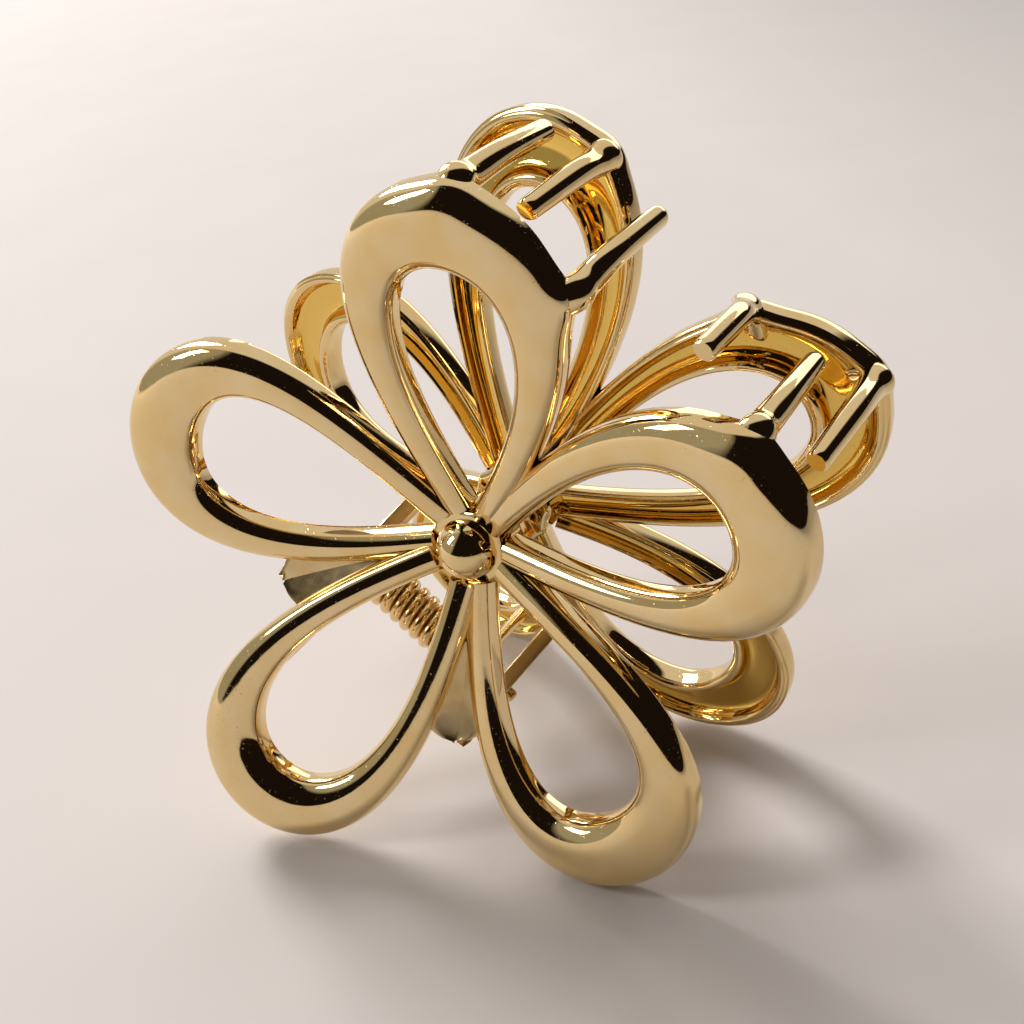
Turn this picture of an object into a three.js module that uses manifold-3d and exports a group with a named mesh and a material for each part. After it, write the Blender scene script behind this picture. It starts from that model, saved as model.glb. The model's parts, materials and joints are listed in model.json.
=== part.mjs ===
// Flower claw clip: two identical openwork flower castings hinged on a pin,
// held shut by a torsion spring wound round the pin.
//
// Millimetres, +Z up. The clip stands on the tips of its handle petals and its
// right-hand side petals, so the hinge line leans in the XZ plane. Inside the
// clip group the axes are: x along the hinge pin, y from the front half to the
// back half, z from the pin towards the jaws.
import * as THREE from 'three';
import { mergeVertices } from 'three/addons/utils/BufferGeometryUtils.js';
import Module from 'manifold-3d';

const wasm = await Module();
wasm.setup();

// ---- driving dimensions -------------------------------------------------
const STANDING_LEAN = THREE.MathUtils.degToRad(38.1); // hinge line against the table
const STANDING_PLACE = [-11.74, 0, 15.09]; // pin centre, from the middle of the footprint

const HUB_HEIGHT = 17.8; // hub centre above the pin, towards the jaws
const HUB_DEPTH = 3.7; // hub centre line in front of the mid-plane
const FLOWER_LEAN = 0.057; // radians, tips of the jaws lean in
const FLOWER_TWIST = 0.027; // radians, flower turned against the hinge line

const STEM_HALF_WIDTH = 1.4; // a petal's band beside the hub
const TIP_HALF_WIDTH = 3.3; // and round its tip
const STEM_HEIGHT = 2.3; // thickness of the band beside the hub
const TIP_HEIGHT = 3.1;
const FRONT_CREST = 0.55; // the band's section, in shares of the thickness
const FRONT_FOOT = -0.1; // where the rounded front meets the side walls
const SECTION_BASE = -0.45; // foot of the side walls
const RIM_DROP = 0.08; // the two back rims stand this share lower
const RIM_PLACE = 0.72; // and this share of the half-width out
const GUTTER_SHARE = 0.36; // depth of the hollow back, as a share of the thickness
const GUTTER_PLACE = 0.4; // edge of the hollow's floor, as a share of the half-width
const LOOP_END = 0.765 * Math.PI; // a loop is drawn this far round from its tip, both ways

const COLLAR_RADIUS = 3.7;
const COLLAR_BACK = -1.9; // along the hub's axis, from the flower's centre line
const COLLAR_LIP = 2.0;
const BEAD_RADIUS = 2.8;
const BEAD_RISE = 1.6; // bead centre in front of the hub centre line

const TOOTH_ROOT_RADIUS = 1.3;
const TOOTH_TIP_RADIUS = 0.9;
const TOOTH_ROOT_DEPTH = -9.0; // from the mid-plane, at the petal's rim
const TOOTH_TIP_DEPTH = 5.0; // past the mid-plane
const TOOTH_BLUNTNESS = 0.75; // the end face against the section before it
const TOOTH_HEIGHT = 48; // above the pin
const TOOTH_PLACES = [-15.8, -4.8, 11.6]; // along the pin
const TOOTH_ROOT_DROPS = [2.2, 4.4, 2.6]; // from the tooth down to the petal's rim

const WEB_START = 8.2; // the leaf-shaped webs, out from the hub
const WEB_LENGTH = 9.7;
const WEB_LEVEL = 4.0; // in front of the hub's centre line at the start
const WEB_CLIMB = 3.8; // and this much more at the point
const WEB_TILT = 0.35;
const WEB_THICKNESS = 1.3;
const WEB_VALLEY = 0.6;
const EAR_THICKNESS = 1.5;
const EAR_OUTER = 10.3; // middle of the outer ear, along the pin
const EAR_INNER = 8.5;
const EAR_EYE_RADIUS = 1.9;

const PIN_RADIUS = 0.7;
const PIN_HALF_LENGTH = 12;
const WIRE_RADIUS = 0.61;
const COIL_RADIUS = 1.75; // to the middle of the wire
const COIL_PITCH = 1.26;
const COIL_TURNS = 11; // odd, so that both legs leave the bottom of the coil
const LEG_REACH = 12.6; // from the pin to the back of a handle petal
const GAP = 0.3; // kept between neighbouring pieces

// Each petal: turn from the jaw direction, reach, breadth of its centre line,
// how sharply it narrows to the hub, how far it flares out (rise, sag) and how
// much it banks sideways. The right-hand petals mirror to the left.
const JAW = { turn: 0.516, reach: 31.1, breadth: 14.4, taper: 1.33, rise: 5.7, sag: -1.8, bank: 0.13 };
const SIDE = { turn: 1.854, reach: 28.8, breadth: 16.9, taper: 1.24, rise: 11.1, sag: -3.2, bank: 0.18 };
const HANDLE = { turn: Math.PI, reach: 29.5, breadth: 15.3, taper: 1.18, rise: 18.7, sag: -2.3, bank: 0 };
const PETALS = [
  { name: 'jaw_petal_left', kind: JAW, side: -1 },
  { name: 'jaw_petal_right', kind: JAW, side: 1 },
  { name: 'side_petal_left', kind: SIDE, side: -1 },
  { name: 'side_petal_right', kind: SIDE, side: 1 },
  { name: 'handle_petal', kind: HANDLE, side: 1 },
];
const FORK_BESIDE_JAW = (JAW.turn + SIDE.turn) / 2;
const FORK_BESIDE_HANDLE = (SIDE.turn + HANDLE.turn) / 2;

// ---- materials ----------------------------------------------------------
const PLATE = { color: 0xd9bd7c, roughness: 0.14, metalness: 1 };
const PIN_FINISH = { color: 0xe0c68a, roughness: 0.18, metalness: 1 };
const SPRING_FINISH = { color: 0xc79a52, roughness: 0.25, metalness: 1 };

function named(name, geometry, finish) {
  const mesh = new THREE.Mesh(geometry, new THREE.MeshStandardMaterial(finish));
  mesh.name = name;
  return mesh;
}

// ---- solids -------------------------------------------------------------
function signedVolume(points, faces) {
  let volume = 0;
  for (const [a, b, c] of faces) {
    volume += points[a].dot(points[b].clone().cross(points[c])) / 6;
  }
  return volume;
}

function closedGeometry(points, faces) {
  const outward = signedVolume(points, faces) > 0;
  const order = outward ? faces : faces.map(([a, b, c]) => [a, c, b]);
  const geometry = new THREE.BufferGeometry().setFromPoints(points);
  geometry.setIndex(order.flat());
  return geometry;
}

// Skins a row of rings, all with the same number of points, and caps both ends.
function loft(rings, outline) {
  const count = outline.length;
  const faces = [];
  for (let r = 0; r + 1 < rings.length; r += 1) {
    for (let k = 0; k < count; k += 1) {
      const a = r * count + k;
      const b = r * count + ((k + 1) % count);
      faces.push([a, b, b + count], [a, b + count, a + count]);
    }
  }
  const last = (rings.length - 1) * count;
  for (const [a, b, c] of THREE.ShapeUtils.triangulateShape(outline, [])) {
    faces.push([a, c, b], [last + a, last + b, last + c]);
  }
  return closedGeometry(rings.flat(), faces);
}

function solidOf(geometry, matrix = new THREE.Matrix4()) {
  const bare = geometry.clone().applyMatrix4(matrix);
  bare.deleteAttribute('normal');
  bare.deleteAttribute('uv');
  const merged = mergeVertices(bare, 1e-4);
  const triangles = [];
  for (let k = 0; k < merged.index.count; k += 3) {
    const corners = [...merged.index.array.slice(k, k + 3)];
    if (new Set(corners).size === 3) {
      triangles.push(...corners);
    }
  }
  return new wasm.Manifold(new wasm.Mesh({
    numProp: 3,
    vertProperties: new Float32Array(merged.attributes.position.array),
    triVerts: new Uint32Array(triangles),
  }));
}

function geometryOf(solid) {
  const pieces = solid.decompose().sort((a, b) => b.volume() - a.volume());
  const mesh = pieces[0].getMesh();
  const geometry = new THREE.BufferGeometry();
  geometry.setAttribute('position', new THREE.Float32BufferAttribute(mesh.vertProperties, 3));
  geometry.setIndex([...mesh.triVerts]);
  return geometry;
}

// ---- petals -------------------------------------------------------------
// In a petal's own frame z runs out from the hub, x runs across and y runs in,
// towards the other half of the clip.
function petalPoint({ kind, side }, t) {
  const along = (1 + Math.cos(t)) / 2;
  const narrowest = Math.acos(kind.taper / (kind.taper + 2)); // where the loop is widest
  const widest = Math.sin(narrowest) * Math.cos(narrowest / 2) ** kind.taper;
  const across = Math.sin(t) * Math.abs(Math.cos(t / 2)) ** kind.taper;
  const x = (kind.breadth / 2) * (across / widest);
  const rise = kind.rise * along + kind.sag * along ** 2 + kind.bank * side * x * along;
  return new THREE.Vector3(x, -rise, kind.reach * along);
}

function outwardAt({ kind, side }, point) {
  const along = point.z / kind.reach;
  const slopeOut = (kind.rise + 2 * kind.sag * along + kind.bank * side * point.x) / kind.reach;
  const slopeAcross = kind.bank * side * along;
  return new THREE.Vector3(-slopeAcross, -1, -slopeOut).normalize();
}

// The band's section: a rounded front, two rims at the back and a hollow between.
// The solids that neighbours are cut with have no hollow and are a gap larger.
function bandOutline(halfWidth, height, hollow = GUTTER_SHARE) {
  const base = SECTION_BASE * height;
  const outline = [new THREE.Vector2(halfWidth, base)];
  const frontSteps = 5;
  for (let k = 0; k <= frontSteps; k += 1) {
    const angle = (Math.PI * k) / frontSteps;
    const level = THREE.MathUtils.lerp(FRONT_FOOT, FRONT_CREST, Math.sin(angle));
    outline.push(new THREE.Vector2(halfWidth * Math.cos(angle), height * level));
  }
  outline.push(new THREE.Vector2(-halfWidth, base));
  const rim = base - RIM_DROP * height;
  outline.push(new THREE.Vector2(-RIM_PLACE * halfWidth, rim));
  outline.push(new THREE.Vector2(-GUTTER_PLACE * halfWidth, base + height * hollow));
  outline.push(new THREE.Vector2(GUTTER_PLACE * halfWidth, base + height * hollow));
  outline.push(new THREE.Vector2(RIM_PLACE * halfWidth, rim));
  return outline;
}

function petalGeometry(petal, clearance = 0) {
  const steps = 28;
  const hollow = clearance > 0 ? 0 : GUTTER_SHARE;
  const rings = [];
  for (let k = 0; k <= steps; k += 1) {
    const t = LOOP_END * ((2 * k) / steps - 1);
    const point = petalPoint(petal, t);
    const ahead = petalPoint(petal, t + 0.001).sub(point).normalize();
    const outward = outwardAt(petal, point);
    const sideways = new THREE.Vector3().crossVectors(ahead, outward).normalize();
    outward.crossVectors(sideways, ahead).normalize();
    const swell = ((1 + Math.cos(t)) / 2) ** 3;
    const halfWidth = THREE.MathUtils.lerp(STEM_HALF_WIDTH, TIP_HALF_WIDTH, swell) + clearance;
    const height = THREE.MathUtils.lerp(STEM_HEIGHT, TIP_HEIGHT, swell) + 2 * clearance;
    rings.push(bandOutline(halfWidth, height, hollow).map(({ x, y }) => point.clone()
      .addScaledVector(sideways, x)
      .addScaledVector(outward, y)));
  }
  return loft(rings, bandOutline(TIP_HALF_WIDTH, TIP_HEIGHT, hollow));
}

// The sector that a petal may fill: neighbours meet along its two edges.
function sectorGeometry(leftEdge, rightEdge) {
  const reach = 60;
  const left = new THREE.Vector2(Math.cos(leftEdge), Math.sin(leftEdge));
  const right = new THREE.Vector2(-Math.cos(rightEdge), Math.sin(rightEdge));
  const cross = left.x * right.y - left.y * right.x;
  const inset = GAP / 2;
  const apex = new THREE.Vector2(inset * (right.y - left.y), inset * (left.x - right.x)).divideScalar(cross);
  const shape = new THREE.Shape([
    apex,
    new THREE.Vector2(apex.x + reach * Math.sin(rightEdge), apex.y + reach * Math.cos(rightEdge)),
    new THREE.Vector2(apex.x - reach * Math.sin(leftEdge), apex.y + reach * Math.cos(leftEdge)),
  ]);
  const deep = 60;
  const slab = new THREE.ExtrudeGeometry(shape, { depth: deep, bevelEnabled: false });
  slab.translate(0, 0, -deep / 2);
  slab.rotateX(Math.PI / 2); // the shape's y becomes z
  return slab;
}

function petalTurn({ kind, side }) {
  return kind === HANDLE ? Math.PI : side * kind.turn;
}

function petalMesh(half, petal) {
  const { kind, side, name } = petal;
  const forkAbove = kind === SIDE ? FORK_BESIDE_JAW : FORK_BESIDE_HANDLE;
  const towardJaw = kind === JAW ? kind.turn : kind.turn - forkAbove;
  const towardHandle = kind === JAW ? FORK_BESIDE_JAW - kind.turn : FORK_BESIDE_HANDLE - kind.turn;
  const below = Math.abs(towardHandle);
  const edges = side > 0 ? [towardJaw, below] : [below, towardJaw];
  const cut = solidOf(petalGeometry(petal)).intersect(solidOf(sectorGeometry(...edges)));
  const mesh = named(`${half}_${name}`, geometryOf(cut), PLATE);
  mesh.rotation.y = petalTurn(petal);
  return mesh;
}

// ---- hub ----------------------------------------------------------------
function collarMesh(half) {
  const seat = BEAD_RADIUS + GAP;
  const bevel = 0.4;
  const profile = [
    new THREE.Vector2(0, COLLAR_BACK),
    new THREE.Vector2(COLLAR_RADIUS - bevel, COLLAR_BACK),
    new THREE.Vector2(COLLAR_RADIUS, COLLAR_BACK + bevel),
    new THREE.Vector2(COLLAR_RADIUS, COLLAR_LIP - bevel),
  ];
  const first = Math.asin((COLLAR_LIP - BEAD_RISE) / seat);
  const seatSteps = 5;
  for (let k = 0; k <= seatSteps; k += 1) {
    const angle = THREE.MathUtils.lerp(first, -Math.PI / 2, k / seatSteps);
    const radius = k === seatSteps ? 0 : seat * Math.cos(angle);
    profile.push(new THREE.Vector2(radius, BEAD_RISE + seat * Math.sin(angle)));
  }
  const geometry = new THREE.LatheGeometry(profile, 16);
  const mesh = named(`${half}_hub_collar`, geometryOf(solidOf(geometry)), PLATE);
  mesh.rotation.x = Math.PI; // the lathe's axis points out, along -y
  return mesh;
}

function beadMesh(half) {
  const mesh = named(`${half}_hub_bead`, new THREE.SphereGeometry(BEAD_RADIUS, 14, 9), PLATE);
  mesh.position.y = -BEAD_RISE;
  return mesh;
}

// ---- teeth --------------------------------------------------------------
// Built in the half's frame, across the mid-plane, from the rim of a jaw petal.
function toothGeometry(place, drop) {
  const sides = 8;
  const route = new THREE.CatmullRomCurve3([
    new THREE.Vector3(place, TOOTH_ROOT_DEPTH, TOOTH_HEIGHT - drop),
    new THREE.Vector3(place, -7.0, TOOTH_HEIGHT - 0.3),
    new THREE.Vector3(place, -3.0, TOOTH_HEIGHT + 0.4),
    new THREE.Vector3(place, TOOTH_TIP_DEPTH, TOOTH_HEIGHT - 0.4),
  ]);
  const steps = 7;
  const outline = [];
  for (let k = 0; k < sides; k += 1) {
    const angle = (2 * Math.PI * (k + 0.5)) / sides;
    outline.push(new THREE.Vector2(Math.cos(angle), Math.sin(angle)));
  }
  const rings = [];
  for (let s = 0; s <= steps; s += 1) {
    const point = route.getPointAt(s / steps);
    const ahead = route.getTangentAt(s / steps);
    const up = new THREE.Vector3(1, 0, 0).cross(ahead).normalize();
    const taper = THREE.MathUtils.lerp(TOOTH_ROOT_RADIUS, TOOTH_TIP_RADIUS, s / steps);
    const blunt = s === steps ? TOOTH_BLUNTNESS : 1;
    rings.push(outline.map(({ x, y }) => point.clone()
      .addScaledVector(up, y * taper * blunt)
      .add(new THREE.Vector3(x * taper * blunt, 0, 0))));
  }
  return loft(rings, outline);
}

function toothMesh(half, number, flowerSolids) {
  let solid = solidOf(toothGeometry(TOOTH_PLACES[number], TOOTH_ROOT_DROPS[number]));
  for (const petal of flowerSolids) {
    solid = solid.subtract(petal);
  }
  return named(`${half}_tooth_${number + 1}`, geometryOf(solid), PLATE);
}

// ---- webs and ears ------------------------------------------------------
// A leaf-shaped web fills each fork beside the handle petal; an ear runs from
// its back to the pin.
function webGeometry(side) {
  const sections = [
    { share: 0, half: 2.2 }, { share: 0.2, half: 3.0 }, { share: 0.5, half: 3.5 },
    { share: 0.75, half: 3.5 }, { share: 0.9, half: 2.2 }, { share: 1, half: 0.3 },
  ];
  const across = [-1, -0.75, 0, 0.75, 1];
  const rings = sections.map(({ share, half }) => {
    const row = (level) => across.map((x) => {
      const height = level + side * WEB_TILT * x * half - (x === 0 ? WEB_VALLEY : 0);
      return new THREE.Vector3(x * half, -height, WEB_START + WEB_LENGTH * share);
    });
    const level = WEB_LEVEL + WEB_CLIMB * share;
    return [...row(level), ...row(level - WEB_THICKNESS).reverse()];
  });
  const outline = rings[2].map(({ x, y }) => new THREE.Vector2(x, y));
  return loft(rings, outline);
}

function earGeometry(place) {
  const shape = new THREE.Shape();
  shape.moveTo(-8.6, 5.1);
  shape.lineTo(-6.9, 5.3);
  shape.lineTo(EAR_EYE_RADIUS * 0.3, EAR_EYE_RADIUS);
  shape.quadraticCurveTo(EAR_EYE_RADIUS + 0.9, 0.9, EAR_EYE_RADIUS + 0.2, -0.9);
  shape.lineTo(-0.4, -EAR_EYE_RADIUS);
  shape.lineTo(-8.2, 2.2);
  shape.lineTo(-9.2, 4.2);
  const eye = new THREE.Path();
  eye.absarc(0, 0, PIN_RADIUS + GAP, 0, 2 * Math.PI, false);
  shape.holes.push(eye);
  const plate = new THREE.ExtrudeGeometry(shape, {
    depth: EAR_THICKNESS, bevelEnabled: false, curveSegments: 6,
  });
  const upright = new THREE.Matrix4().makeBasis(
    new THREE.Vector3(0, 1, 0), new THREE.Vector3(0, 0, 1), new THREE.Vector3(1, 0, 0),
  );
  plate.applyMatrix4(upright);
  plate.translate(place - EAR_THICKNESS / 2, 0, 0);
  return plate;
}

function webMesh(half, side, flowerMatrix, flowerSolids) {
  const turned = new THREE.Matrix4().makeRotationY(side * FORK_BESIDE_HANDLE);
  const place = side < 0 ? -EAR_OUTER : EAR_INNER;
  let solid = solidOf(webGeometry(side), flowerMatrix.clone().multiply(turned));
  solid = solid.add(solidOf(earGeometry(place)));
  for (const petal of flowerSolids) {
    solid = solid.subtract(petal);
  }
  return named(`${half}_web_${side < 0 ? 'left' : 'right'}`, geometryOf(solid), PLATE);
}

// ---- one half of the clip -----------------------------------------------
function buildHalf(half) {
  const group = new THREE.Group();
  const flower = new THREE.Group();
  flower.position.set(0, -HUB_DEPTH, HUB_HEIGHT);
  flower.rotation.set(FLOWER_LEAN, FLOWER_TWIST, 0);
  flower.updateMatrix();
  for (const petal of PETALS) {
    flower.add(petalMesh(half, petal));
  }
  flower.add(collarMesh(half), beadMesh(half));
  group.add(flower);

  const flowerSolids = PETALS.map((petal) => solidOf(
    petalGeometry(petal, GAP),
    flower.matrix.clone().multiply(new THREE.Matrix4().makeRotationY(petalTurn(petal))),
  ));
  for (let number = 0; number < TOOTH_PLACES.length; number += 1) {
    group.add(toothMesh(half, number, flowerSolids));
  }
  for (const side of [-1, 1]) {
    group.add(webMesh(half, side, flower.matrix, flowerSolids));
  }
  return group;
}

// ---- hinge --------------------------------------------------------------
function pinMesh() {
  const bevel = 0.25;
  const profile = [
    new THREE.Vector2(0, -PIN_HALF_LENGTH),
    new THREE.Vector2(PIN_RADIUS - bevel, -PIN_HALF_LENGTH),
    new THREE.Vector2(PIN_RADIUS, -PIN_HALF_LENGTH + bevel),
    new THREE.Vector2(PIN_RADIUS, PIN_HALF_LENGTH - bevel),
    new THREE.Vector2(PIN_RADIUS - bevel, PIN_HALF_LENGTH),
    new THREE.Vector2(0, PIN_HALF_LENGTH),
  ];
  const mesh = named('hinge_pin', geometryOf(solidOf(new THREE.LatheGeometry(profile, 12))), PIN_FINISH);
  mesh.rotation.z = -Math.PI / 2;
  return mesh;
}

// One wire: a leg to the front handle, the close-wound coil, a leg to the back
// handle. The two legs match when the clip is turned half round.
function springRoute() {
  const steps = COIL_TURNS * 10;
  const coil = [];
  for (let k = 0; k <= steps; k += 1) {
    const turns = (k / steps - 0.5) * COIL_TURNS;
    const angle = turns * 2 * Math.PI;
    coil.push(new THREE.Vector3(
      turns * COIL_PITCH, -COIL_RADIUS * Math.sin(angle), COIL_RADIUS * Math.cos(angle),
    ));
  }
  const legDrop = 1.2;
  const leg = (end, way) => [0.3, 0.65, 1].map((share) => new THREE.Vector3(
    end.x, way * LEG_REACH * share, end.z - legDrop * share ** 2,
  ));
  return [...leg(coil[0], -1).reverse(), ...coil, ...leg(coil[steps], 1)];
}

function springMesh() {
  const points = springRoute();
  const sides = 6;
  const outline = [];
  for (let k = 0; k < sides; k += 1) {
    const angle = (2 * Math.PI * k) / sides;
    outline.push(new THREE.Vector2(WIRE_RADIUS * Math.cos(angle), WIRE_RADIUS * Math.sin(angle)));
  }
  const rings = points.map((point, k) => {
    const before = points[Math.max(k - 1, 0)];
    const after = points[Math.min(k + 1, points.length - 1)];
    const ahead = after.clone().sub(before).normalize();
    const level = new THREE.Vector3(1, 0, 0).addScaledVector(ahead, -ahead.x).normalize();
    const upright = new THREE.Vector3().crossVectors(ahead, level);
    return outline.map(({ x, y }) => point.clone().addScaledVector(level, x).addScaledVector(upright, y));
  });
  return named('torsion_spring', loft(rings, outline), SPRING_FINISH);
}

// ---- the clip -----------------------------------------------------------
const front = buildHalf('front');
const back = buildHalf('back');
back.rotation.z = Math.PI; // the same casting, turned half round the jaw direction

const clip = new THREE.Group();
clip.add(front, back, pinMesh(), springMesh());
clip.rotation.y = STANDING_LEAN;
clip.position.set(...STANDING_PLACE);

const flowerClip = new THREE.Group();
flowerClip.add(clip);

export default flowerClip;
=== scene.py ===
import json
import math

import bpy
from bpy.props import FloatProperty, FloatVectorProperty, IntProperty, PointerProperty
from mathutils import Matrix, Vector


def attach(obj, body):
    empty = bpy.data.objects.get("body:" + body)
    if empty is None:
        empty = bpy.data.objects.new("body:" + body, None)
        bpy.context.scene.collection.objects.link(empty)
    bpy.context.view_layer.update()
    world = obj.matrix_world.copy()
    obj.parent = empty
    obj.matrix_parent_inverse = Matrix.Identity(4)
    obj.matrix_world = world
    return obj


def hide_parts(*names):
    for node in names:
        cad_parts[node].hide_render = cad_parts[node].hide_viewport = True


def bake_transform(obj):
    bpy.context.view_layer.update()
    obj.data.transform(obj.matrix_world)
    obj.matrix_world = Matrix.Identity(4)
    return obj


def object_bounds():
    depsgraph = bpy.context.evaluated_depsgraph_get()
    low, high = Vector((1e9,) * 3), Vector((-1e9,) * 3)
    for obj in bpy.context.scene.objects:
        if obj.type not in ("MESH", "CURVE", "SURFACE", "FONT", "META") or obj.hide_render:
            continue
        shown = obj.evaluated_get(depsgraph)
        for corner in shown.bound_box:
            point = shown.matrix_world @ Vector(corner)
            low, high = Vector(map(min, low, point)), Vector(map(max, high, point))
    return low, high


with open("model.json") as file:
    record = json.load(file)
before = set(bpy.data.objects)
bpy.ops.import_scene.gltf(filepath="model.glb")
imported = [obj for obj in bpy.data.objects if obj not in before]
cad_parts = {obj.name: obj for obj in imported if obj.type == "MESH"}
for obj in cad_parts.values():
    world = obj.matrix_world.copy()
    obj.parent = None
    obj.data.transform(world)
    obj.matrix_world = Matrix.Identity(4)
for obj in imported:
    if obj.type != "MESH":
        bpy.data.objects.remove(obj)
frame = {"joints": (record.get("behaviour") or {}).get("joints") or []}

bl_info = {
    "name": "Flower claw clip",
    "version": (1, 0, 0),
    "blender": (4, 5, 0),
    "location": "3D View > Sidebar > Claw clip",
    "description": "Models a plated flower claw clip round its packed frame",
    "category": "Object",
}

CAD_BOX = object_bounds()
MM = 0.001
HALVES = ("front", "back")
FULL_TURN = 2 * math.pi

# The hinge gives the clip's own axes: x along the pin, y from the front half to
# the back half, z from the pin towards the jaws.
HINGE = next(joint for joint in frame["joints"] if joint["name"] == "jaw_hinge")
ALONG_PIN = -Vector(HINGE["axis"]).normalized()
INWARD = Vector((0, 1, 0))
TO_JAWS = ALONG_PIN.cross(INWARD)
CLIP = Matrix.Translation(Vector(HINGE["pos_m"])) @ Matrix(
    (ALONG_PIN, INWARD, TO_JAWS)
).transposed().to_4x4()
HALF_TURN = CLIP @ Matrix.Rotation(math.pi, 4, "Z") @ CLIP.inverted()


# ---- sizes and colours --------------------------------------------------
def length(name, description, millimetres):
    return FloatProperty(
        name=name, description=description, default=millimetres * MM, unit="LENGTH", precision=5
    )


def angle(name, description, radians):
    return FloatProperty(name=name, description=description, default=radians, subtype="ANGLE")


def share(name, description, default):
    return FloatProperty(name=name, description=description, default=default, subtype="FACTOR")


def colour(name, description, default):
    return FloatVectorProperty(
        name=name, description=description, default=default, subtype="COLOR", min=0, max=1
    )


def petal_sizes(turn, reach, breadth, taper, rise, sag, bank):
    return {
        "turn": angle("Turn", "From the jaw direction to the petal's middle", turn),
        "reach": length("Reach", "From the hub's centre to the tip of the centre line", reach),
        "breadth": length("Breadth", "Across the centre line's loop", breadth),
        "taper": FloatProperty(name="Taper", description="Sharpness at the hub", default=taper),
        "rise": length("Rise", "How far the tip flares out", rise),
        "sag": length("Sag", "How far the flare bends back", sag),
        "bank": share("Bank", "Sideways slope of the petal's face", bank),
    }


class JawPetalSizes(bpy.types.PropertyGroup):
    __annotations__ = petal_sizes(0.516, 31.1, 14.4, 1.33, 5.7, -1.8, 0.13)


class SidePetalSizes(bpy.types.PropertyGroup):
    __annotations__ = petal_sizes(1.854, 28.8, 16.9, 1.24, 11.1, -3.2, 0.18)


class HandlePetalSizes(bpy.types.PropertyGroup):
    __annotations__ = petal_sizes(math.pi, 29.5, 15.3, 1.18, 18.7, -2.3, 0.0)


class FlowerSizes(bpy.types.PropertyGroup):
    hub_height: length("Hub height", "From the pin towards the jaws", 17.8)
    hub_depth: length("Hub depth", "In front of the mid-plane", 3.7)
    lean: angle("Lean", "Jaw tips lean in", 0.057)
    twist: angle("Twist", "Flower turned against the pin", 0.027)
    stem_half_width: length("Stem half-width", "Of the band beside the hub", 1.4)
    tip_half_width: length("Tip half-width", "Of the band round its tip", 3.3)
    stem_height: length("Stem height", "Thickness of the band beside the hub", 2.3)
    tip_height: length("Tip height", "Thickness of the band at its tip", 3.1)
    collar_radius: length("Collar radius", "Of the ring round the bead", 3.85)
    bead_radius: length("Bead radius", "Of the ball at the hub", 2.8)
    bead_rise: length("Bead rise", "Bead's centre in front of the flower's", 1.6)


class ToothSizes(bpy.types.PropertyGroup):
    height: length("Height", "Of the teeth above the pin", 48.0)
    tip_depth: length("Tip depth", "Past the mid-plane", 5.0)
    root_radius: length("Root radius", "Where the tooth leaves the rim", 1.3)
    tip_radius: length("Tip radius", "At the blunt end", 0.9)


class HingeSizes(bpy.types.PropertyGroup):
    pin_radius: length("Pin radius", "Of the hinge pin", 0.7)
    pin_half_length: length("Pin half-length", "From the mid-plane to its cut end", 12.0)
    ear_thickness: length("Ear thickness", "Along the pin", 1.5)
    eye_radius: length("Eye radius", "Outside of the ear's eye", 1.9)
    ear_outer: length("Outer ear", "Its middle, along the pin", 10.3)
    ear_inner: length("Inner ear", "Its middle, along the pin", 8.5)
    wire_radius: length("Wire radius", "Of the spring", 0.61)
    coil_radius: length("Coil radius", "To the middle of the wire", 1.75)
    coil_pitch: length("Coil pitch", "From turn to turn", 1.26)
    coil_turns: IntProperty(name="Turns", description="Of the coil, an odd number", default=11)
    leg_reach: length("Leg reach", "From the pin to a handle petal", 12.6)


class FinishColours(bpy.types.PropertyGroup):
    plate_pale: colour("Pale plate", "Gold plating on the crests", (0.81, 0.64, 0.355))
    plate_warm: colour("Warm plate", "Gold plating where it is thicker", (0.79, 0.58, 0.27))
    # Painted reflection: the warm light bounced round the band's hollows, painted into their colour.
    plate_hollow_reflection: colour("Hollow reflection", "Gold plating in the hollows", (0.80, 0.53, 0.13))
    spring_pale: colour("Spring", "Spring wire on its crests", (0.80, 0.58, 0.28))
    floor: colour("Floor", "Pale studio floor", (0.74, 0.685, 0.665))


class ClipSettings(bpy.types.PropertyGroup):
    jaw_petal: PointerProperty(type=JawPetalSizes)
    side_petal: PointerProperty(type=SidePetalSizes)
    handle_petal: PointerProperty(type=HandlePetalSizes)
    flower: PointerProperty(type=FlowerSizes)
    tooth: PointerProperty(type=ToothSizes)
    hinge: PointerProperty(type=HingeSizes)
    finish: PointerProperty(type=FinishColours)


def settings():
    return bpy.context.scene.claw_clip


# ---- shared modelling steps ---------------------------------------------
def mix(a, b, part):
    return a + (b - a) * part


def smoothstep(value):
    value = min(max(value, 0.0), 1.0)
    return value * value * (3 - 2 * value)


def start_piece(name, add, **sizes):
    bpy.ops.object.select_all(action="DESELECT")
    add(**sizes)
    piece = bpy.context.active_object
    piece.name = name
    piece.data.name = name
    return piece


def close_and_recalculate():
    """Joins the active mesh's seams, closes its open ends and turns its normals out."""
    seam = 0.002 * MM
    bpy.ops.object.mode_set(mode="EDIT")
    bpy.ops.mesh.select_all(action="SELECT")
    bpy.ops.mesh.remove_doubles(threshold=seam)
    bpy.ops.mesh.fill_holes(sides=0)
    bpy.ops.mesh.select_all(action="SELECT")
    bpy.ops.mesh.normals_make_consistent(inside=False)
    bpy.ops.object.mode_set(mode="OBJECT")


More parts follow.
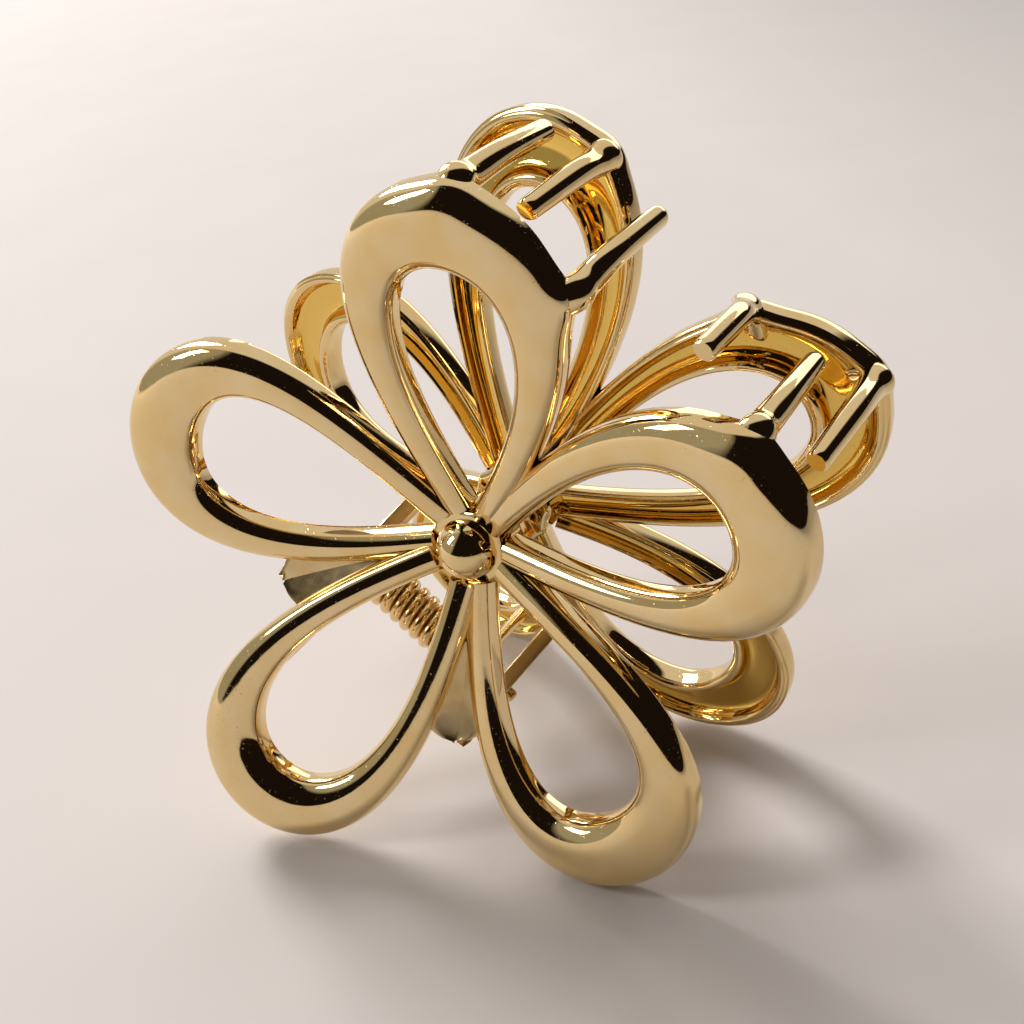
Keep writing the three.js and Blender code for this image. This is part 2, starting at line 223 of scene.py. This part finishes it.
def wrap_grid(name, rings, hollow_reflection=None):
    """Wraps a grid primitive round a row of rings, joins its seam and closes its ends."""
    rows, columns = len(rings), len(rings[0])
    piece = start_piece(
        name, bpy.ops.mesh.primitive_grid_add,
        size=1, x_subdivisions=columns, y_subdivisions=rows - 1,
    )
    mesh = piece.data
    # Each point's share of the painted hollow reflection.
    painted_reflection = mesh.attributes.new("hollow_reflection", "FLOAT", "POINT")
    for vertex in mesh.vertices:
        column = round((vertex.co.x + 0.5) * columns) % columns
        row = round((vertex.co.y + 0.5) * (rows - 1))
        vertex.co = rings[row][column]
        painted_reflection.data[vertex.index].value = hollow_reflection[column] if hollow_reflection else 0.0
    close_and_recalculate()
    return piece


def apply_modifier(piece, kind, **values):
    modifier = piece.modifiers.new(kind.title(), kind)
    for key, value in values.items():
        setattr(modifier, key, value)
    bpy.context.view_layer.objects.active = piece
    bpy.ops.object.modifier_apply(modifier=modifier.name)


def finish_piece(piece, material, sharp=40):
    """Shades the piece smooth up to the sharp angle, in degrees, and gives it its material."""
    bpy.ops.object.select_all(action="DESELECT")
    piece.select_set(True)
    bpy.context.view_layer.objects.active = piece
    bpy.ops.object.shade_smooth_by_angle(angle=math.radians(sharp))
    piece.data.materials.clear()
    piece.data.materials.append(material)
    return piece


def mount_pair(piece, part):
    """Puts the modelled piece on the front half, and a copy turned half round on the back."""
    twin = piece.copy()
    twin.data = piece.data.copy()
    bpy.context.scene.collection.objects.link(twin)
    twin.data.transform(HALF_TURN)
    for half, copy in zip(HALVES, (piece, twin)):
        copy.name = f"{half}_{part}_plated"
        copy.data.name = copy.name
        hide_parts(f"{half}_{part}")
        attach(copy, f"{half}_half")


# ---- finishes -----------------------------------------------------------
PLATINGS = {
    # material: colour on the crests, roughness, strength of the pits
    "gold plating": ("plate_pale", 0.05, 0.2),
    "satin plating": ("plate_pale", 0.34, 0.3),
    "pin plating": ("plate_pale", 0.16, 0.6),
    "spring plating": ("spring_pale", 0.2, 0.8),
}
# The mix node's colour sockets share their names with its other kinds.
COLOUR_A, COLOUR_B, COLOUR_RESULT = 6, 7, 2


def new_material(name):
    material = bpy.data.materials.new(name)
    material.use_nodes = True
    nodes = material.node_tree.nodes
    nodes.clear()
    output = nodes.new("ShaderNodeOutputMaterial")
    shader = nodes.new("ShaderNodeBsdfPrincipled")
    material.node_tree.links.new(shader.outputs["BSDF"], output.inputs["Surface"])
    return material, nodes, material.node_tree.links, shader


def noise(nodes, links, place, scale, detail=3.0):
    texture = nodes.new("ShaderNodeTexNoise")
    texture.inputs["Scale"].default_value = scale
    texture.inputs["Detail"].default_value = detail
    links.new(place.outputs["Object"], texture.inputs["Vector"])
    return texture.outputs["Fac"]


def remap(nodes, links, value, low, high, to_low=0.0, to_high=1.0):
    node = nodes.new("ShaderNodeMapRange")
    ends = {"From Min": low, "From Max": high, "To Min": to_low, "To Max": to_high}
    for socket, number in ends.items():
        node.inputs[socket].default_value = number
    links.new(value, node.inputs["Value"])
    return node.outputs["Result"]


def mix_colours(nodes, links, factor, first, second):
    node = nodes.new("ShaderNodeMix")
    node.data_type = "RGBA"
    links.new(factor, node.inputs["Factor"])
    for socket, source in ((node.inputs[COLOUR_A], first), (node.inputs[COLOUR_B], second)):
        if isinstance(source, bpy.types.NodeSocket):
            links.new(source, socket)
        else:
            socket.default_value = (*source, 1)
    return node.outputs[COLOUR_RESULT]


def plated_metal(name, pale, warm, painted_reflection, roughness, pit_depth):
    """Polished plating: cloudy tint, faint orange peel, scattered pits, and a painted warm
    reflection in the hollows.
    """
    material, nodes, links, shader = new_material(name)
    place = nodes.new("ShaderNodeTexCoord")
    shader.inputs["Metallic"].default_value = 1.0
    clouds = remap(nodes, links, noise(nodes, links, place, scale=260.0), 0.35, 0.65)
    tint = mix_colours(nodes, links, clouds, pale, warm)
    # Painted reflection: the hollows' warm bounced light, mixed into the base colour.
    hollow_reflection = nodes.new("ShaderNodeAttribute")
    hollow_reflection.attribute_name = "hollow_reflection"
    tint = mix_colours(nodes, links, hollow_reflection.outputs["Fac"], tint, painted_reflection)
    links.new(tint, shader.inputs["Base Color"])
    wear = noise(nodes, links, place, scale=900.0)
    rough = remap(nodes, links, wear, 0.3, 0.7, roughness * 0.85, roughness * 1.2)
    links.new(rough, shader.inputs["Roughness"])

    peel = nodes.new("ShaderNodeBump")
    peel.inputs["Strength"].default_value = 0.25
    peel.inputs["Distance"].default_value = 0.02 * MM
    links.new(noise(nodes, links, place, scale=700.0, detail=1.0), peel.inputs["Height"])
    specks = remap(nodes, links, noise(nodes, links, place, scale=5200.0, detail=1.0), 0.72, 0.80)
    pits = nodes.new("ShaderNodeBump")
    pits.invert = True
    pits.inputs["Strength"].default_value = pit_depth
    pits.inputs["Distance"].default_value = 0.05 * MM
    links.new(specks, pits.inputs["Height"])
    links.new(peel.outputs["Normal"], pits.inputs["Normal"])
    links.new(pits.outputs["Normal"], shader.inputs["Normal"])
    return material


def plating(name):
    colours = settings().finish
    crest, roughness, pit_depth = PLATINGS[name]
    return bpy.data.materials.get(name) or plated_metal(
        name, getattr(colours, crest), colours.plate_warm, colours.plate_hollow_reflection, roughness, pit_depth
    )


# ---- petals -------------------------------------------------------------
# The band's section in shares of its half-width and thickness: a rounded front,
# then the left wall, rim and hollow to the middle, with each point's share of the
# painted warm reflection that stands in for light bounced round the hollow.
BAND_FOOT = -0.10
BAND_CREST = 0.55
BAND_FULLNESS = 0.82  # of the rounded front: 1 is an ellipse, less is flatter on top
LOOP_END = 0.785 * math.pi  # a loop is drawn this far round from its tip, both ways
LOOP_STEPS = 180
SWELL_REACH = 0.13  # round the loop, in radians, of the rim's swelling at a tooth's root
SWELL_FALL = 1.5  # how fast the swelling fades from the rim across the band
BAND_BACK = (
    (-1.0, -0.16, 0.0), (-0.995, -0.24, 0.0), (-0.985, -0.34, 0.0), (-0.975, -0.43, 0.0),
    (-0.945, -0.455, 0.2), (-0.90, -0.47, 0.3), (-0.87, -0.52, 0.2), (-0.80, -0.565, 0.1),
    (-0.71, -0.56, 0.1), (-0.64, -0.50, 0.3), (-0.59, -0.38, 0.7), (-0.54, -0.22, 1.0),
    (-0.46, -0.12, 1.0), (-0.33, -0.08, 1.0), (-0.16, -0.06, 1.0),
)


def band_section():
    """(across, outward, share of painted reflection) round the band, from the right edge over the
    crest.
    """
    front_steps = 24
    section = []
    for k in range(front_steps + 1):
        turn = math.pi * k / front_steps
        across = math.copysign(abs(math.cos(turn)) ** BAND_FULLNESS, math.cos(turn))
        outward = mix(BAND_FOOT, BAND_CREST, math.sin(turn) ** BAND_FULLNESS)
        section.append((across, outward, 0.0))
    middle = (0.0, BAND_BACK[-1][1], 1.0)
    right = [(-across, outward, painted_reflection) for across, outward, painted_reflection in reversed(BAND_BACK)]
    return section + list(BAND_BACK) + [middle] + right


def petal_point(sizes, side, t):
    """The centre line: z out from the hub, x across and y in towards the other half."""
    along = (1 + math.cos(t)) / 2
    narrowest = math.acos(sizes.taper / (sizes.taper + 2))
    widest = math.sin(narrowest) * math.cos(narrowest / 2) ** sizes.taper
    across = math.sin(t) * abs(math.cos(t / 2)) ** sizes.taper
    x = sizes.breadth / 2 * across / widest
    rise = sizes.rise * along + sizes.sag * along ** 2 + sizes.bank * side * x * along
    return Vector((x, -rise, sizes.reach * along))


def petal_outward(sizes, side, point):
    along = point.z / sizes.reach
    slope_out = (sizes.rise + 2 * sizes.sag * along + sizes.bank * side * point.x) / sizes.reach
    return Vector((-sizes.bank * side * along, -1, -slope_out)).normalized()


def flower_matrix():
    flower = settings().flower
    return (
        CLIP
        @ Matrix.Translation((0, -flower.hub_depth, flower.hub_height))
        @ Matrix.Rotation(flower.lean, 4, "X")
        @ Matrix.Rotation(flower.twist, 4, "Y")
    )


def band_frame(sizes, side, t):
    """The centre line's point, the band's two directions and its half-width and height."""
    flower = settings().flower
    nudge = 0.001
    point = petal_point(sizes, side, t)
    ahead = (petal_point(sizes, side, t + nudge) - point).normalized()
    sideways = ahead.cross(petal_outward(sizes, side, point)).normalized()
    towards_tip = ((1 + math.cos(t)) / 2) ** 3
    half_width = mix(flower.stem_half_width, flower.tip_half_width, towards_tip)
    height = mix(flower.stem_height, flower.tip_height, towards_tip)
    return point, sideways, sideways.cross(ahead), half_width, height


def petal_rings(sizes, side, turn, swellings=()):
    """Sections round the loop. The outer rim swells towards each tooth's root."""
    place = flower_matrix() @ Matrix.Rotation(turn, 4, "Y")
    section = band_section()
    rings = []
    for k in range(LOOP_STEPS + 1):
        t = LOOP_END * (2 * k / LOOP_STEPS - 1)
        point, sideways, outward, half_width, height = band_frame(sizes, side, t)
        swell = sum(
            size * math.exp(-((t - middle) / SWELL_REACH) ** 2) for middle, size in swellings
        )
        rings.append([
            place @ (
                point
                + sideways * (across * half_width - max(-across, 0) ** SWELL_FALL * swell)
                + outward * rise * height
            )
            for across, rise, _ in section
        ])
    return rings


class CLIP_OT_petals(bpy.types.Operator):
    """Model the five petals of each flower"""

    bl_idname = "claw_clip.petals"
    bl_label = "Petals"

    def execute(self, context):
        clip = settings()
        # Each section point's share of the painted hollow reflection.
        hollow_reflection = [painted_reflection for _, _, painted_reflection in band_section()]
        petals = [("handle_petal", clip.handle_petal, 1, math.pi)]
        for side, hand in ((-1, "left"), (1, "right")):
            petals.append((f"jaw_petal_{hand}", clip.jaw_petal, side, side * clip.jaw_petal.turn))
            petals.append((f"side_petal_{hand}", clip.side_petal, side, side * clip.side_petal.turn))
        for part, sizes, side, turn in petals:
            swellings = [
                (tooth_root(side, place * MM)[0], swell * MM)
                for _, tooth_side, place, _, _, swell in TEETH
                if part.startswith("jaw") and tooth_side == side
            ]
            petal = wrap_grid(part, petal_rings(sizes, side, turn, swellings), hollow_reflection)
            mount_pair(finish_piece(petal, plating("gold plating")), part)
        return {"FINISHED"}


# ---- hub ----------------------------------------------------------------
class CLIP_OT_hub(bpy.types.Operator):
    """Model the lobed collar and the bead set in it"""

    bl_idname = "claw_clip.hub"
    bl_label = "Hub"

    def execute(self, context):
        flower = settings().flower
        outward = flower_matrix() @ Matrix.Rotation(math.pi / 2, 4, "X")
        self.model_collar(flower, outward)
        self.model_bead(flower, outward)
        return {"FINISHED"}

    def model_collar(self, flower, outward):
        depth, middle, rounding = 3.6 * MM, -0.1 * MM, 0.55 * MM
        lobes, lobe_share = 10, 0.03
        waves, wave_share = 3, 0.02
        collar = start_piece(
            "hub_collar", bpy.ops.mesh.primitive_cylinder_add,
            vertices=80, radius=flower.collar_radius, depth=depth, location=(0, 0, middle),
        )
        for vertex in collar.data.vertices:
            turn = math.atan2(vertex.co.y, vertex.co.x)
            swell = 1 + lobe_share * math.cos(lobes * turn) + wave_share * math.cos(waves * turn + 1)
            vertex.co.x *= swell
            vertex.co.y *= swell
        collar.data.transform(collar.matrix_world)
        collar.matrix_world = Matrix.Identity(4)
        apply_modifier(collar, "BEVEL", width=rounding, segments=6, limit_method="ANGLE")
        collar.data.transform(outward)
        mount_pair(finish_piece(collar, plating("gold plating"), 50), "hub_collar")

    def model_bead(self, flower, outward):
        flat_back = -0.55 * flower.bead_radius
        bead = start_piece(
            "hub_bead", bpy.ops.mesh.primitive_uv_sphere_add,
            segments=96, ring_count=64, radius=flower.bead_radius,
        )
        bpy.ops.object.mode_set(mode="EDIT")
        bpy.ops.mesh.select_all(action="SELECT")
        bpy.ops.mesh.bisect(
            plane_co=(0, 0, flat_back), plane_no=(0, 0, 1), clear_inner=True, use_fill=True
        )
        bpy.ops.object.mode_set(mode="OBJECT")
        bead.data.transform(outward @ Matrix.Translation((0, 0, flower.bead_rise)))
        mount_pair(finish_piece(bead, plating("gold plating")), "hub_bead")


# ---- teeth --------------------------------------------------------------
TEETH = (
    # part, jaw petal's side, then in millimetres: place along the pin, elbow and tip
    # above the teeth's height, and how far the petal's rim swells towards the root
    ("tooth_1", -1, -15.8, -0.2, -0.4, 0.5),
    ("tooth_2", -1, -4.8, -1.3, 0.4, 0.8),
    ("tooth_3", 1, 11.3, -0.3, -0.4, 0.6),
)


def catmull_rom(points, part):
    """A point on the smooth curve through all of points, part of the way from 0 to 1."""
    spans = len(points) - 1
    span = min(int(part * spans), spans - 1)
    u = part * spans - span
    before = points[max(span - 1, 0)]
    start, end = points[span], points[span + 1]
    after = points[min(span + 2, spans)]
    return 0.5 * (
        2 * start + (end - before) * u
        + (2 * before - 5 * start + 4 * end - after) * u ** 2
        + (3 * start - before - 3 * end + after) * u ** 3
    )


def tooth_root(side, place):
    """How far round the jaw petal its rim meets the tooth, that point and one in the band."""
    clip = settings()
    sizes = clip.jaw_petal
    to_clip = CLIP.inverted() @ flower_matrix() @ Matrix.Rotation(side * sizes.turn, 4, "Y")
    across_share, back_share = 0.45, 0.12
    steps, farthest, slack = 400, 1.7, 0.12 * MM
    crossings = []
    for k in range(steps + 1):
        t = mix(-farthest, farthest, k / steps)
        point, sideways, outward, half_width, height = band_frame(sizes, side, t)
        rim = to_clip @ (point - sideways * half_width)
        inside = to_clip @ (
            point - sideways * half_width * across_share - outward * height * back_share
        )
        if abs(rim.x - place) < slack:
            crossings.append((rim.z, t, rim, inside))
    return max(crossings, key=lambda crossing: crossing[0])[1:]


def tooth_rings(tooth, side, place, elbow, tip):
    """Sections from inside the petal's band, over the elbow behind its rim, to the blunt tip."""
    _, rim, inside = tooth_root(side, place)
    route = [
        inside,
        Vector((place, rim.y + 1.3 * MM, mix(rim.z, tooth.height + elbow, 0.5))),
        Vector((place, rim.y + 3.0 * MM, tooth.height + elbow)),
        Vector((place, -2.0 * MM, tooth.height + mix(elbow, tip, 0.5) + 0.4 * MM)),
        Vector((place, tooth.tip_depth, tooth.height + tip)),
    ]
    steps, sides, nudge = 80, 32, 0.01
    belly = 0.62  # the underside's height against the top's
    taper_start, blunt_start, bluntness = 0.3, 0.97, 0.55
    flare_start, flare_length = 0.05, 0.40
    flare_width, flare_thinning = 0.3 * MM, 0.15 * MM
    rings = []
    for k in range(steps + 1):
        part = k / steps
        point = catmull_rom(route, part)
        before = catmull_rom(route, max(part - nudge, 0))
        after = catmull_rom(route, min(part + nudge, 1))
        up = Vector((1, 0, 0)).cross((after - before).normalized()).normalized()
        tapered = max(part - taper_start, 0) / (1 - taper_start)
        radius = mix(tooth.root_radius, tooth.tip_radius, tapered)
        flare = 1 - smoothstep((part - flare_start) / flare_length)
        end = max(part - blunt_start, 0) / (1 - blunt_start)
        radius *= math.sqrt(1 - (bluntness * end) ** 2)
        ring = []
        for corner in range(sides):
            turn = FULL_TURN * corner / sides
            rise = math.sin(turn) * (1 if math.sin(turn) > 0 else belly)
            ring.append(CLIP @ (
                point
                + Vector((1, 0, 0)) * math.cos(turn) * (radius + flare_width * flare)
                + up * rise * (radius - flare_thinning * flare)
            ))
        rings.append(ring)
    return rings


class CLIP_OT_teeth(bpy.types.Operator):
    """Model the three teeth of each half"""

    bl_idname = "claw_clip.teeth"
    bl_label = "Teeth"

    def execute(self, context):
        tooth = settings().tooth
        for part, side, place, elbow, tip, _ in TEETH:
            rings = tooth_rings(tooth, side, place * MM, elbow * MM, tip * MM)
            piece = wrap_grid(part, rings)
            mount_pair(finish_piece(piece, plating("gold plating"), 50), part)
        return {"FINISHED"}


# ---- webs and ears ------------------------------------------------------
class CLIP_OT_webs(bpy.types.Operator):
    """Model the leaf-shaped webs and the ears that hold the pin"""

    bl_idname = "claw_clip.webs"
    bl_label = "Webs and ears"

    def execute(self, context):
        clip = settings()
        beside_handle = (clip.side_petal.turn + clip.handle_petal.turn) / 2
        for side, hand in ((-1, "left"), (1, "right")):
            fork = flower_matrix() @ Matrix.Rotation(side * beside_handle, 4, "Y")
            leaf = self.model_leaf(side, fork)
            place = -clip.hinge.ear_outer if side < 0 else clip.hinge.ear_inner
            ear = self.model_ear(clip.hinge, place)
            bpy.ops.object.select_all(action="DESELECT")
            ear.select_set(True)
            leaf.select_set(True)
            bpy.context.view_layer.objects.active = leaf
            bpy.ops.object.join()
            mount_pair(finish_piece(leaf, plating("satin plating"), 20), f"web_{hand}")
        return {"FINISHED"}

    def model_leaf(self, side, place):
        """A leaf that starts out from the hub, climbs to its point and has a valley down it."""
        start, reach = 8.2 * MM, 9.7 * MM
        level, climb, tilt = 4.0 * MM, 3.8 * MM, 0.35
        valley, valley_reach, valley_fade = 0.75 * MM, 0.78, 0.6
        root_half, full_half = 2.2 * MM, 3.5 * MM
        point_share, point_blunt = 0.25, 0.05
        thickness, rounding = 1.3 * MM, 0.18 * MM
        leaf = start_piece(
            "leaf", bpy.ops.mesh.primitive_grid_add, size=2, x_subdivisions=16, y_subdivisions=36
        )
        for vertex in leaf.data.vertices:
            part = (vertex.co.y + 1) / 2
            half = mix(root_half, full_half, math.sin(math.pi * min(part, 0.5)))
            half *= max(math.sqrt(min((1 - part) / point_share, 1)), point_blunt)
            across = vertex.co.x * half
            groove = max(0, 1 - abs(vertex.co.x) / valley_reach) * (1 - valley_fade * part ** 4)
            height = level + climb * part + side * tilt * across - valley * groove
            vertex.co = (across, -height, start + reach * part)
        apply_modifier(leaf, "SOLIDIFY", thickness=thickness, offset=-1)
        apply_modifier(leaf, "BEVEL", width=rounding, segments=3, limit_method="ANGLE")
        leaf.data.transform(place)
        close_and_recalculate()
        return leaf

    def model_ear(self, hinge, place):
        """A flat ear from the leaf's back to its eye round the pin; outline as (depth, height)."""
        eye, eye_steps, eye_gap, rounding = hinge.eye_radius, 16, 0.3 * MM, 0.2 * MM
        outline = [(-8.9 * MM, 4.5 * MM), (-8.6 * MM, 5.1 * MM), (-6.9 * MM, 5.3 * MM)]
        for k in range(eye_steps + 1):
            turn = math.radians(mix(70, -100, k / eye_steps))
            outline.append((eye * math.cos(turn), eye * math.sin(turn)))
        outline.append((-8.2 * MM, 2.2 * MM))
        ear = start_piece(
            "ear", bpy.ops.mesh.primitive_circle_add, vertices=len(outline), fill_type="NGON"
        )
        for vertex, (depth, height) in zip(ear.data.vertices, outline):
            vertex.co = (place - hinge.ear_thickness / 2, depth, height)
        apply_modifier(ear, "SOLIDIFY", thickness=hinge.ear_thickness, offset=1)
        close_and_recalculate()
        ear.data.transform(Matrix.Translation((place, 0, 0)) @ Matrix.Translation(-self.middle(ear)))
        hole = start_piece(
            "ear_hole", bpy.ops.mesh.primitive_cylinder_add,
            vertices=40, radius=hinge.pin_radius + eye_gap, depth=4 * hinge.ear_thickness,
        )
        hole.data.transform(Matrix.Translation((place, 0, 0)) @ Matrix.Rotation(math.pi / 2, 4, "Y"))
        apply_modifier(ear, "BOOLEAN", object=hole, operation="DIFFERENCE", solver="EXACT")
        bpy.data.objects.remove(hole)
        apply_modifier(ear, "BEVEL", width=rounding, segments=3, limit_method="ANGLE")
        ear.data.transform(CLIP)
        return ear

    def middle(self, ear):
        """The middle of the ear's thickness, along the pin."""
        across = [vertex.co.x for vertex in ear.data.vertices]
        return Vector(((min(across) + max(across)) / 2, 0, 0))


# ---- hinge pin and spring -----------------------------------------------
class CLIP_OT_pin(bpy.types.Operator):
    """Model the hinge pin with its rounded ends"""

    bl_idname = "claw_clip.pin"
    bl_label = "Hinge pin"

    def execute(self, context):
        hinge, rounding = settings().hinge, 0.4 * MM
        pin = start_piece(
            "hinge_pin_plated", bpy.ops.mesh.primitive_cylinder_add,
            vertices=48, radius=hinge.pin_radius, depth=2 * hinge.pin_half_length,
        )
        apply_modifier(pin, "BEVEL", width=rounding, segments=6, limit_method="ANGLE")
        pin.data.transform(CLIP @ Matrix.Rotation(math.pi / 2, 4, "Y"))
        finish_piece(pin, plating("pin plating"))
        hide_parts("hinge_pin")
        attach(pin, "front_half")
        return {"FINISHED"}


def spring_route(hinge):
    """The front leg, the close-wound coil and the back leg, as one row of points."""
    steps_per_turn, leg_drop = 32, 1.2 * MM
    steps = hinge.coil_turns * steps_per_turn
    coil = []
    for k in range(steps + 1):
        turns = (k / steps - 0.5) * hinge.coil_turns
        turn = turns * FULL_TURN
        coil.append(Vector((
            turns * hinge.coil_pitch,
            -hinge.coil_radius * math.sin(turn),
            hinge.coil_radius * math.cos(turn),
        )))

    def leg(end, way):
        return [
            Vector((end.x, way * hinge.leg_reach * part, end.z - leg_drop * part ** 2))
            for part in (0.1, 0.3, 0.5, 0.7, 0.85, 1.0)
        ]

    return leg(coil[0], -1)[::-1] + coil + leg(coil[-1], 1)


class CLIP_OT_spring(bpy.types.Operator):
    """Model the torsion spring from one wire"""

    bl_idname = "claw_clip.spring"
    bl_label = "Torsion spring"

    def execute(self, context):
        hinge = settings().hinge
        points = spring_route(hinge)
        sides = 14
        rings = []
        for k, point in enumerate(points):
            before, after = points[max(k - 1, 0)], points[min(k + 1, len(points) - 1)]
            ahead = (after - before).normalized()
            level = (Vector((1, 0, 0)) - ahead * ahead.x).normalized()
            upright = ahead.cross(level)
            turns = [FULL_TURN * corner / sides for corner in range(sides)]
            rings.append([
                CLIP @ (point + hinge.wire_radius * (
                    level * math.cos(turn) + upright * math.sin(turn)
                ))
                for turn in turns
            ])
        spring = wrap_grid("torsion_spring_plated", rings)
        finish_piece(spring, plating("spring plating"), 60)
        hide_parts("torsion_spring")
        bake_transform(spring)
        return {"FINISHED"}


# ---- stage --------------------------------------------------------------
FLOOR_GRAIN = 0.97  # of the floor's colour, in its darker grains
FLOOR_SHADE = 0.62  # of the floor's colour, far to the right, in the painted shade
SHADE_EDGE, SHADE_FULL = 0.13, 0.36  # metres, x and y added up, where the painted shade starts and where it is full
WARM_WHITE = (1.0, 0.985, 0.965)
LIGHTS = (
    # name, place and size in metres, power in watts
    ("key softbox", (-1.93, 0.92, 1.62), (0.9, 1.2), 55.0),
    ("left softbox", (-0.85, -0.65, 0.78), (0.25, 0.6), 5.0),
    ("far softbox", (-0.3, 1.5, 0.50), (1.6, 0.5), 3.5),
)
DARK_STUDIO = (0.010, 0.007, 0.006)
GLOWS = (
    # middle's direction, cosines where it fades out and where it is full, colour
    ((-0.95, -0.10, 0.30), 0.52, 0.62, (0.38, 0.37, 0.32)),
    ((-0.50, 0.62, 0.58), 0.58, 0.68, (0.76, 0.71, 0.66)),
)
CAMERA_PLACE = (0.0574, -0.0820, 0.0897)
CAMERA_RIGHT = (0.855, 0.505, -0.120)
CAMERA_UP = (-0.175, 0.499, 0.849)
CAMERA_LENS, CAMERA_SENSOR = 46.3, 36.0  # millimetres


class CLIP_OT_stage(bpy.types.Operator):
    """Lay the floor, hang the soft lights and set the camera"""

    bl_idname = "claw_clip.stage"
    bl_label = "Stage"

    def execute(self, context):
        self.lay_floor()
        for name, place, size, power in LIGHTS:
            self.hang_light(name, place, size, power)
        self.set_world()
        self.set_camera()
        return {"FINISHED"}

    def lay_floor(self):
        """Pale paper with a faint grain, and painted shade making it a little darker far to the
        right.
        """
        bpy.ops.object.select_all(action="DESELECT")
        bpy.ops.mesh.primitive_plane_add(size=4.0, location=(0, 0, CAD_BOX[0][2]))
        floor = bpy.context.active_object
        floor.name = "studio_floor"
        material, nodes, links, shader = new_material("floor paper")
        place = nodes.new("ShaderNodeTexCoord")
        base = Vector(settings().finish.floor)
        grain = remap(nodes, links, noise(nodes, links, place, scale=40.0), 0.3, 0.7)
        paper = mix_colours(nodes, links, grain, base, base * FLOOR_GRAIN)
        # Painted shade: the floor darkens far to the right, where the light's pool ends.
        aside = nodes.new("ShaderNodeVectorMath")
        aside.operation = "DOT_PRODUCT"
        aside.inputs[1].default_value = (1, 1, 0)
        links.new(place.outputs["Object"], aside.inputs[0])
        shade = remap(nodes, links, aside.outputs["Value"], SHADE_EDGE, SHADE_FULL)
        paper = mix_colours(nodes, links, shade, paper, base * FLOOR_SHADE)
        links.new(paper, shader.inputs["Base Color"])
        shader.inputs["Roughness"].default_value = 0.75
        floor.data.materials.append(material)

    def hang_light(self, name, place, size, power):
        lamp = bpy.data.lights.new(name, "AREA")
        lamp.shape = "RECTANGLE"
        lamp.size, lamp.size_y = size
        lamp.energy = power
        lamp.color = WARM_WHITE
        holder = bpy.data.objects.new(name, lamp)
        holder.location = place
        holder.rotation_euler = (-Vector(place)).to_track_quat("-Z", "Y").to_euler()
        bpy.context.scene.collection.objects.link(holder)

    def set_world(self):
        world = bpy.context.scene.world or bpy.data.worlds.new("studio")
        bpy.context.scene.world = world
        world.use_nodes = True
        nodes, links = world.node_tree.nodes, world.node_tree.links
        direction = nodes.new("ShaderNodeTexCoord")
        surroundings = DARK_STUDIO
        for middle, edge, full, tint in GLOWS:
            surroundings = self.glow(nodes, links, direction, middle, edge, full, surroundings, tint)
        links.new(surroundings, nodes["Background"].inputs["Color"])
        bpy.context.scene.view_settings.view_transform = "Standard"

    def glow(self, nodes, links, direction, middle, edge, full, beyond, tint):
        """Brightens the surroundings round one direction, fading from full to edge."""
        towards = nodes.new("ShaderNodeVectorMath")
        towards.operation = "DOT_PRODUCT"
        towards.inputs[1].default_value = Vector(middle).normalized()
        links.new(direction.outputs["Generated"], towards.inputs[0])
        amount = remap(nodes, links, towards.outputs["Value"], edge, full)
        return mix_colours(nodes, links, amount, beyond, tint)

    def set_camera(self):
        lens = bpy.data.cameras.new("camera")
        lens.lens = CAMERA_LENS
        lens.sensor_width = CAMERA_SENSOR
        lens.clip_start = 0.005
        camera = bpy.data.objects.new("camera", lens)
        right, up = Vector(CAMERA_RIGHT), Vector(CAMERA_UP)
        back = right.cross(up).normalized()
        up = back.cross(right).normalized()
        camera.matrix_world = Matrix.Translation(CAMERA_PLACE) @ Matrix(
            (right.normalized(), up, back)
        ).transposed().to_4x4()
        bpy.context.scene.collection.objects.link(camera)
        bpy.context.scene.camera = camera


# ---- the add-on ---------------------------------------------------------
STEPS = (
    CLIP_OT_petals, CLIP_OT_hub, CLIP_OT_teeth, CLIP_OT_webs,
    CLIP_OT_pin, CLIP_OT_spring, CLIP_OT_stage,
)


class CLIP_PT_panel(bpy.types.Panel):
    """Lists the clip's sizes, colours and modelling steps"""

    bl_idname = "CLIP_PT_panel"
    bl_label = "Flower claw clip"
    bl_space_type = "VIEW_3D"
    bl_region_type = "UI"
    bl_category = "Claw clip"

    def draw(self, context):
        clip = context.scene.claw_clip
        for name in clip.bl_rna.properties.keys():
            group = getattr(clip, name)
            if isinstance(group, bpy.types.PropertyGroup):
                box = self.layout.box()
                box.label(text=name.replace("_", " ").capitalize())
                for field in group.__annotations__:
                    box.prop(group, field)
        for step in STEPS:
            self.layout.operator(step.bl_idname)


CLASSES = (
    JawPetalSizes, SidePetalSizes, HandlePetalSizes, FlowerSizes, ToothSizes, HingeSizes,
    FinishColours, ClipSettings, *STEPS, CLIP_PT_panel,
)


def register():
    for cls in CLASSES:
        bpy.utils.register_class(cls)
    bpy.types.Scene.claw_clip = PointerProperty(type=ClipSettings)


def unregister():
    del bpy.types.Scene.claw_clip
    for cls in reversed(CLASSES):
        bpy.utils.unregister_class(cls)


def main():
    register()
    bpy.ops.claw_clip.stage()
    bpy.ops.claw_clip.petals()
    bpy.ops.claw_clip.hub()
    bpy.ops.claw_clip.teeth()
    bpy.ops.claw_clip.webs()
    bpy.ops.claw_clip.pin()
    bpy.ops.claw_clip.spring()


if __name__ == "__main__":
    main()
